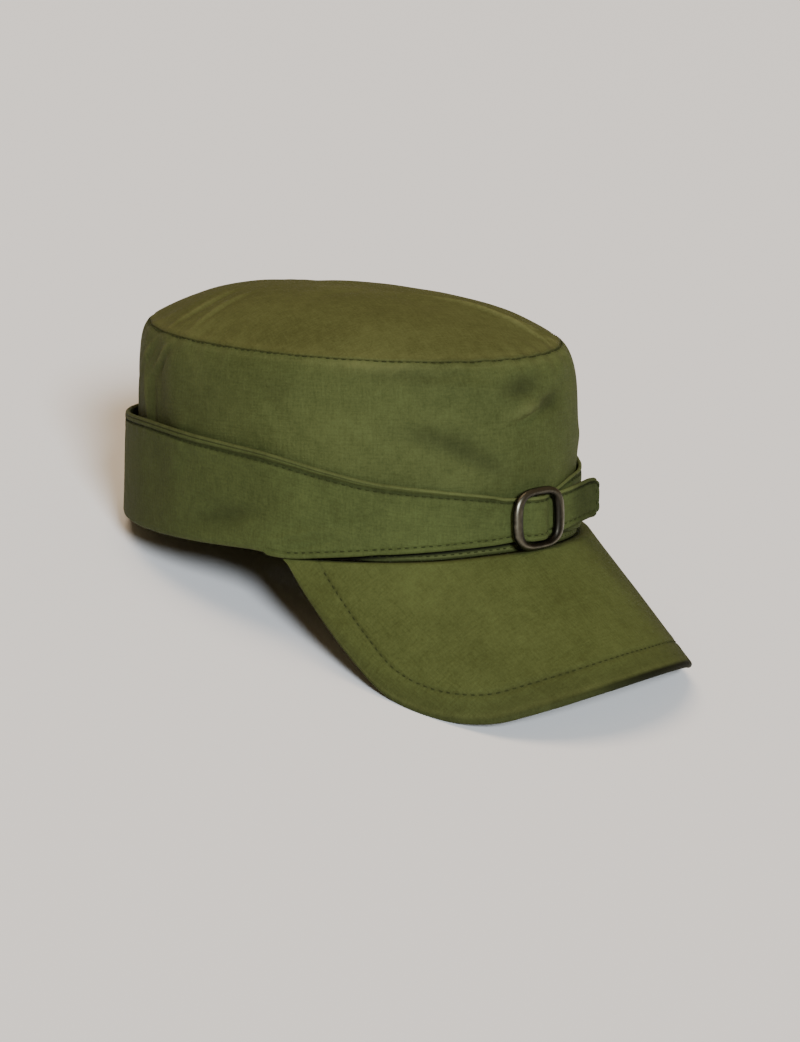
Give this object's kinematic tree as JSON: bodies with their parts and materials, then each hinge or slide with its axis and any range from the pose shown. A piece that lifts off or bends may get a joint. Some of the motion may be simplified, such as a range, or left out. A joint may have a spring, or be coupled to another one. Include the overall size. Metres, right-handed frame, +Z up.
{
  "type": "cloth field cap with folded ear flap",
  "caption": "Soft flat-topped cloth cap with a stiff curved peak and an ear flap folded up and fastened in front by a slide buckle.",
  "frame": {"origin": "on the surface the cap rests on, under the middle of its bounding box", "axes": "+Z up from the surface, -Y the front of the cap (its peak), +X the wearer's left; the rim plane is tilted about X, front up, as the cap rests by itself"},
  "size_m": [0.1762, 0.2792, 0.1289],
  "materials": {
    "crown_cloth": "olive green close-woven cotton, faintly waxed",
    "peak_cloth": "olive green close-woven cotton over a stiff peak, topstitched",
    "flap_cloth": "olive green close-woven cotton, doubled and topstitched",
    "buckle_metal": "antique brass, darkened, worn brighter on the edges"
  },
  "bodies": {
    "root": {"crown_top": "crown_cloth", "crown_side": "crown_cloth", "peak": "peak_cloth", "ear_flap": "flap_cloth", "buckle": "buckle_metal"}
  },
  "joints": []
}
